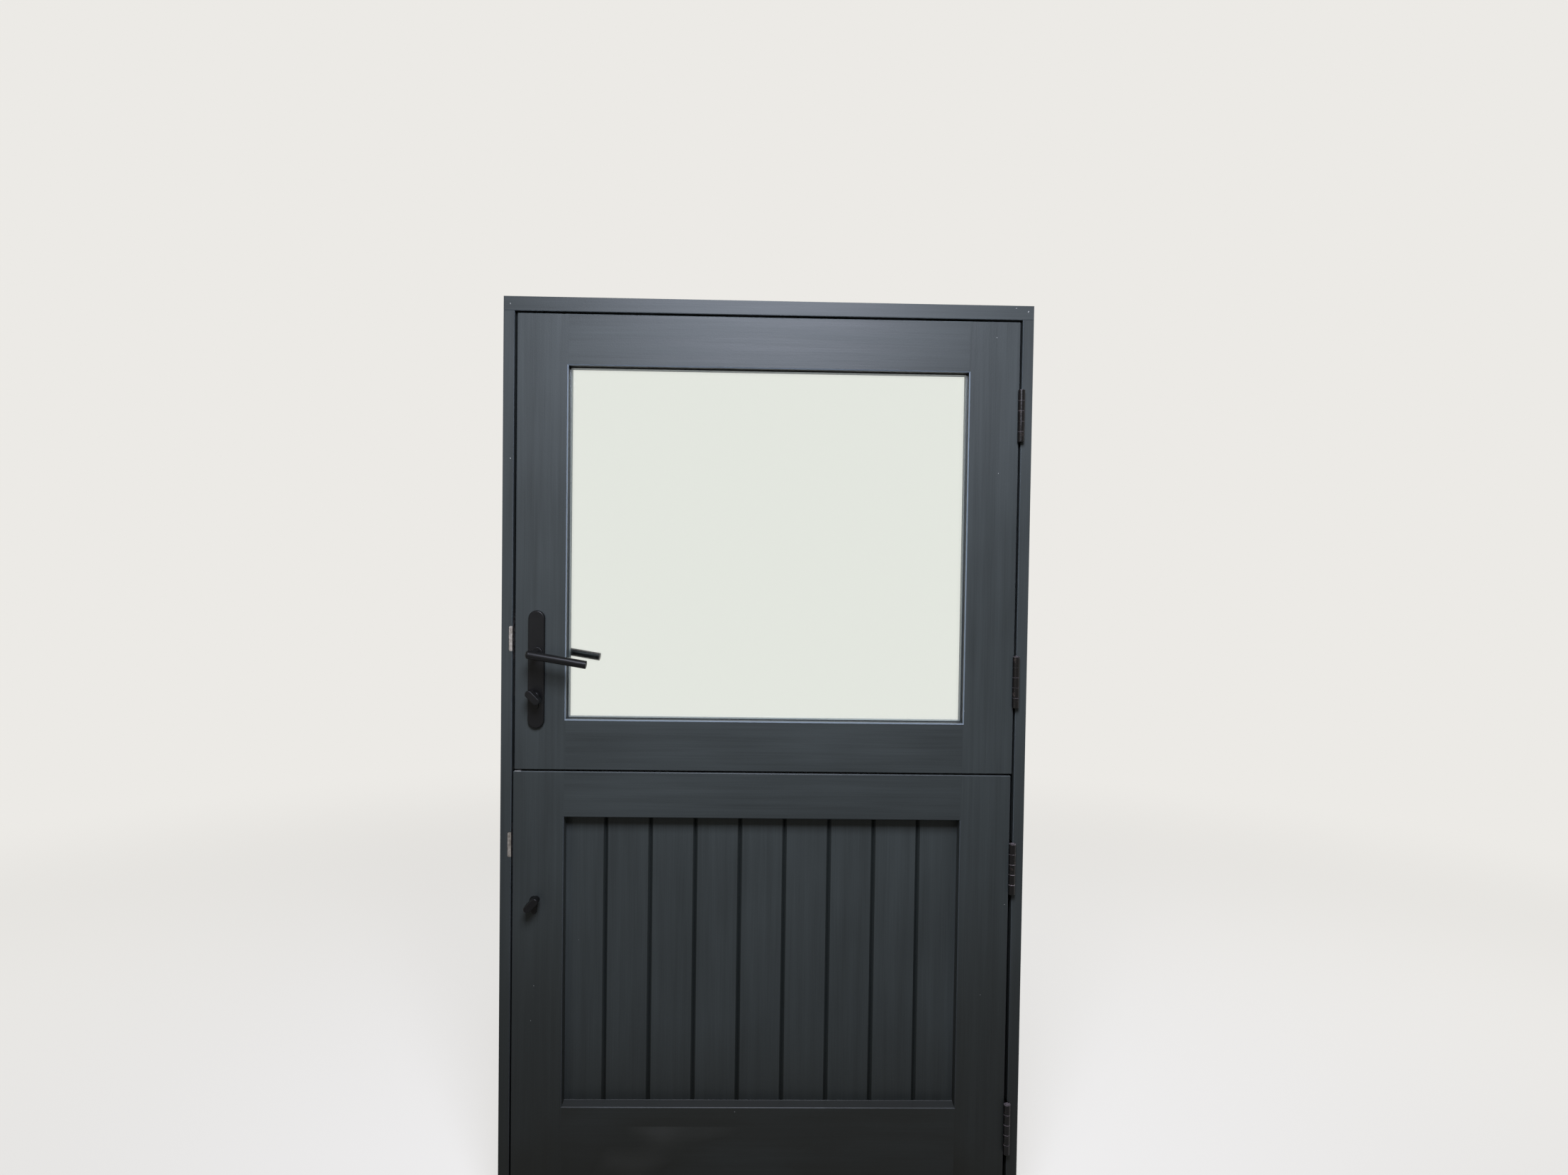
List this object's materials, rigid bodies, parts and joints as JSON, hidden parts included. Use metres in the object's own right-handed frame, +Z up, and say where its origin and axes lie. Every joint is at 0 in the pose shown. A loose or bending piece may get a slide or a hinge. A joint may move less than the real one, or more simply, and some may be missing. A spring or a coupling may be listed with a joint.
{
  "type": "stable door",
  "caption": "Timber stable door in its frame, with a glazed upper leaf and a boarded lower leaf that swing apart or together.",
  "frame": {"origin": "middle of the sill's underside, under the depth of the jambs", "axes": "+X to the hinge side as seen from the room, +Y away from the room, +Z up"},
  "size_m": [0.975, 0.1724, 1.756],
  "materials": {
    "painted_timber": "satin anthracite paint",
    "black_metal": "satin black powder coat",
    "zinc_steel": "bright zinc plate",
    "clear_glass": "clear float glass",
    "spacer_metal": "dark anodised",
    "seal_rubber": "matt black"
  },
  "bodies": {
    "frame": {"sill": "painted_timber", "lock_jamb": "painted_timber", "hinge_jamb": "painted_timber", "head": "painted_timber", "frame_seal": "seal_rubber", "upper_keep": "zinc_steel", "lower_keep": "zinc_steel", "hinge_1_frame_flap": "black_metal", "hinge_2_frame_flap": "black_metal", "hinge_3_frame_flap": "black_metal", "hinge_4_frame_flap": "black_metal", "hinge_pins": "black_metal", "frame_screws": "black_metal"},
    "upper_leaf": {"upper_lock_stile": "painted_timber", "upper_hinge_stile": "painted_timber", "upper_top_rail": "painted_timber", "upper_meeting_rail": "painted_timber", "glass_inner_pane": "clear_glass", "glass_outer_pane": "clear_glass", "glass_spacer": "spacer_metal", "glazing_bead_left": "painted_timber", "glazing_bead_right": "painted_timber", "glazing_bead_top": "painted_timber", "glazing_bead_bottom": "painted_timber", "hinge_1_leaf_flap": "black_metal", "hinge_2_leaf_flap": "black_metal", "upper_leaf_screws": "black_metal", "inside_backplate": "black_metal", "outside_backplate": "black_metal", "upper_lock_case": "zinc_steel", "upper_cylinder": "black_metal"},
    "lower_leaf": {"lower_lock_stile": "painted_timber", "lower_hinge_stile": "painted_timber", "lower_meeting_rail": "painted_timber", "lower_bottom_rail": "painted_timber", "board_1": "painted_timber", "board_2": "painted_timber", "board_3": "painted_timber", "board_4": "painted_timber", "board_5": "painted_timber", "board_6": "painted_timber", "board_7": "painted_timber", "board_8": "painted_timber", "board_9": "painted_timber", "weatherboard": "painted_timber", "meeting_seal": "seal_rubber", "hinge_3_leaf_flap": "black_metal", "hinge_4_leaf_flap": "black_metal", "lower_leaf_screws": "black_metal", "lower_lock_case": "zinc_steel", "lower_cylinder": "black_metal"},
    "lever": {"inside_lever": "black_metal", "outside_lever": "black_metal", "lever_spindle": "zinc_steel"},
    "upper_turn": {"upper_thumb_turn": "black_metal"},
    "upper_latch": {"upper_latch_bolt": "zinc_steel"},
    "upper_bolt": {"upper_deadbolt": "zinc_steel"},
    "lower_turn": {"lower_thumb_turn": "black_metal"},
    "lower_latch": {"lower_latch_bolt": "zinc_steel"},
    "lower_bolt": {"lower_deadbolt": "zinc_steel"}
  },
  "joints": [
    {"name": "upper_leaf_swing", "type": "hinge", "parent": "frame", "child": "upper_leaf", "pos_m": [0.4655, -0.0545, 1.306], "axis": [0, 0, 1], "range_deg": [0, 100]},
    {"name": "lower_leaf_swing", "type": "hinge", "parent": "frame", "child": "lower_leaf", "pos_m": [0.4655, -0.0545, 0.463], "axis": [0, 0, 1], "range_deg": [0, 100]},
    {"name": "lever_turn", "type": "hinge", "parent": "upper_leaf", "child": "lever", "pos_m": [-0.422, -0.0205, 1.103], "axis": [0, 1, 0], "range_deg": [0, 35], "stiffness_Nm_per_rad": 0.5, "springref_deg": -45.84},
    {"name": "upper_thumb_turn_spin", "type": "hinge", "parent": "upper_leaf", "child": "upper_turn", "pos_m": [-0.422, -0.0475, 1.024], "axis": [0, 1, 0], "range_deg": [0, 360]},
    {"name": "upper_deadbolt_slide", "type": "slide", "parent": "upper_leaf", "child": "upper_bolt", "axis": [-1, 0, 0], "range_m": [0, 0.02]},
    {"name": "upper_latch_slide", "type": "slide", "parent": "upper_leaf", "child": "upper_latch", "axis": [-1, 0, 0], "range_m": [0, 0.011]},
    {"name": "lower_thumb_turn_spin", "type": "hinge", "parent": "lower_leaf", "child": "lower_turn", "pos_m": [-0.424, -0.0475, 0.641], "axis": [0, 1, 0], "range_deg": [0, 360]},
    {"name": "lower_deadbolt_slide", "type": "slide", "parent": "lower_leaf", "child": "lower_bolt", "axis": [-1, 0, 0], "range_m": [0, 0.02]},
    {"name": "lower_latch_slide", "type": "slide", "parent": "lower_leaf", "child": "lower_latch", "axis": [-1, 0, 0], "range_m": [0, 0.011]}
  ],
  "couplings": [
    {"joint": "upper_thumb_turn_spin", "follows": "upper_deadbolt_slide", "rad_per_m": 314},
    {"joint": "lower_thumb_turn_spin", "follows": "lower_deadbolt_slide", "rad_per_m": 314}
  ]
}
